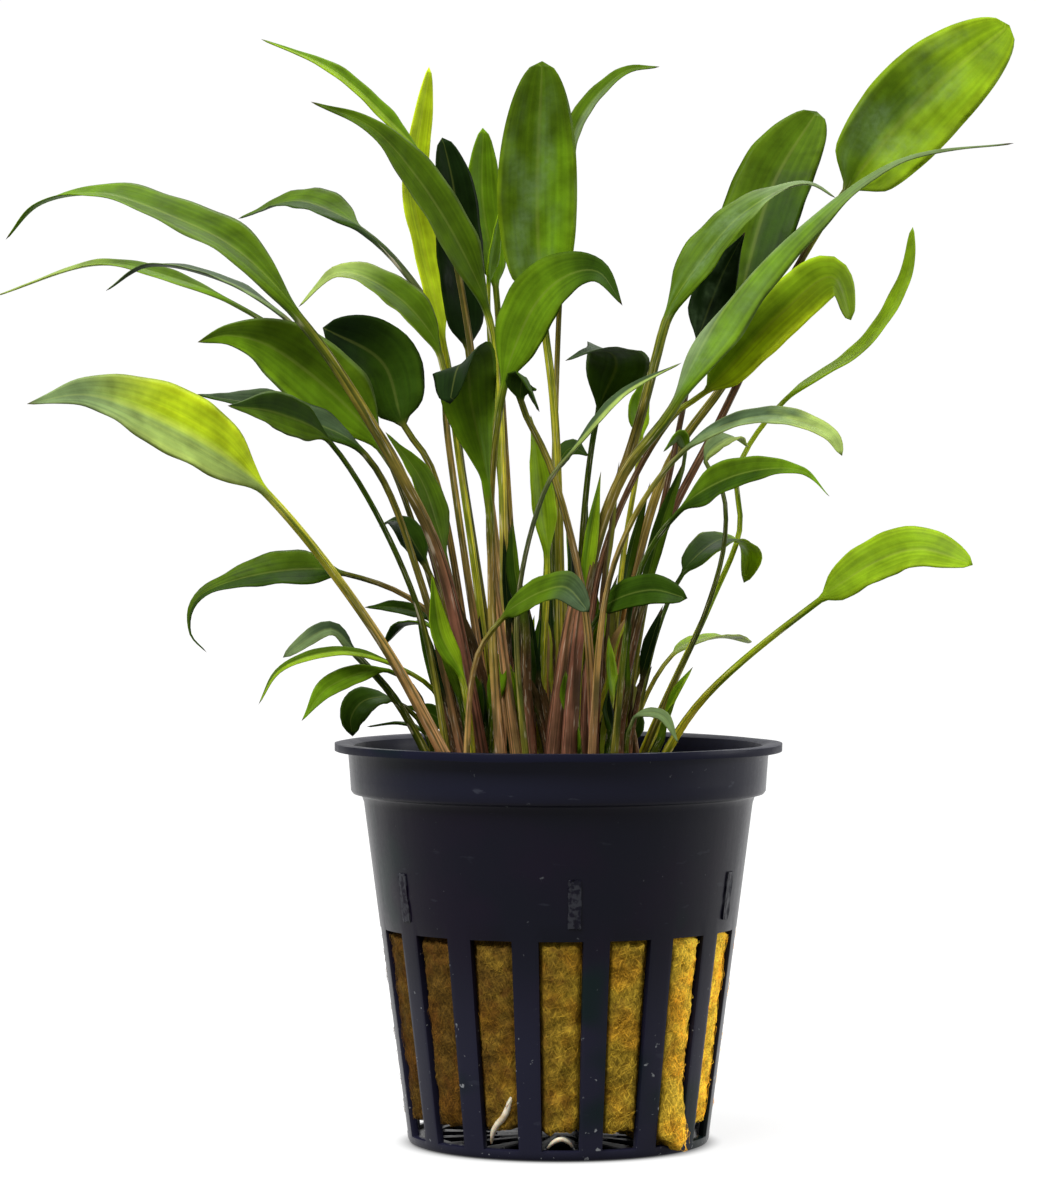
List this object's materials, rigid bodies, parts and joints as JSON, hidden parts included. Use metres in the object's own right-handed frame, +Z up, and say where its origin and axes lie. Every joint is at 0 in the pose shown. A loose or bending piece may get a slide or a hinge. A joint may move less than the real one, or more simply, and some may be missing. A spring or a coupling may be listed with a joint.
{
  "type": "potted cryptocoryne",
  "caption": "Rosette of long-stalked arching leaves rooted in a rock-wool plug inside a tapered slotted net pot.",
  "frame": {"origin": "centre of the pot's underside", "axes": "+Z up along the pot's axis; +X to the right and -Y towards the viewer of the pictured side"},
  "size_m": [0.1312, 0.077, 0.1405],
  "materials": {
    "pot_plastic": "satin black",
    "rock_wool": "fibrous matte",
    "root": "moist white",
    "leaf_dark": "satin leaf",
    "leaf_middle": "satin leaf",
    "leaf_bright": "satin leaf",
    "leaf_yellow": "satin leaf",
    "leaf_grey": "satin leaf"
  },
  "bodies": {
    "root": {"net_pot_body": "pot_plastic", "net_pot_collar": "pot_plastic", "rockwool_plug": "rock_wool", "root_1": "root", "root_2": "root", "leaf_upper_left_1": "leaf_middle", "leaf_upper_left_2": "leaf_bright", "leaf_upper_left_3": "leaf_grey", "leaf_upper_left_4": "leaf_yellow", "leaf_upper_left_5": "leaf_dark", "leaf_upper_left_6": "leaf_middle", "leaf_upper_left_7": "leaf_middle", "leaf_upper_left_8": "leaf_grey", "leaf_upper_left_9": "leaf_grey", "leaf_left_1": "leaf_dark", "leaf_left_2": "leaf_grey", "leaf_left_3": "leaf_middle", "leaf_left_4": "leaf_dark", "leaf_left_5": "leaf_middle", "leaf_left_6": "leaf_dark", "leaf_lower_left_1": "leaf_bright", "leaf_lower_left_2": "leaf_yellow", "leaf_lower_left_3": "leaf_middle", "leaf_lower_left_4": "leaf_dark", "leaf_lower_left_5": "leaf_dark", "leaf_lower_left_6": "leaf_grey", "leaf_lower_left_7": "leaf_bright", "leaf_lower_left_8": "leaf_middle", "leaf_lower_left_9": "leaf_dark", "leaf_lower_left_10": "leaf_dark", "leaf_lower_left_11": "leaf_dark", "leaf_centre_1": "leaf_middle", "leaf_centre_2": "leaf_bright", "leaf_centre_3": "leaf_middle", "leaf_centre_4": "leaf_bright", "leaf_centre_5": "leaf_bright", "leaf_centre_6": "leaf_dark", "leaf_centre_7": "leaf_bright", "leaf_centre_8": "leaf_dark", "leaf_centre_9": "leaf_bright", "leaf_centre_10": "leaf_grey", "leaf_centre_11": "leaf_dark", "leaf_centre_12": "leaf_middle", "leaf_upper_right_1": "leaf_bright", "leaf_upper_right_2": "leaf_dark", "leaf_upper_right_3": "leaf_middle", "leaf_upper_right_4": "leaf_middle", "leaf_upper_right_5": "leaf_grey", "leaf_upper_right_6": "leaf_dark", "leaf_upper_right_7": "leaf_bright", "leaf_upper_right_8": "leaf_bright", "leaf_lower_right_1": "leaf_grey", "leaf_lower_right_2": "leaf_middle", "leaf_lower_right_3": "leaf_grey", "leaf_lower_right_4": "leaf_middle", "leaf_lower_right_5": "leaf_dark", "leaf_lower_right_6": "leaf_dark", "leaf_lower_right_7": "leaf_bright", "leaf_lower_right_8": "leaf_bright", "leaf_lower_right_9": "leaf_grey"}
  },
  "joints": []
}
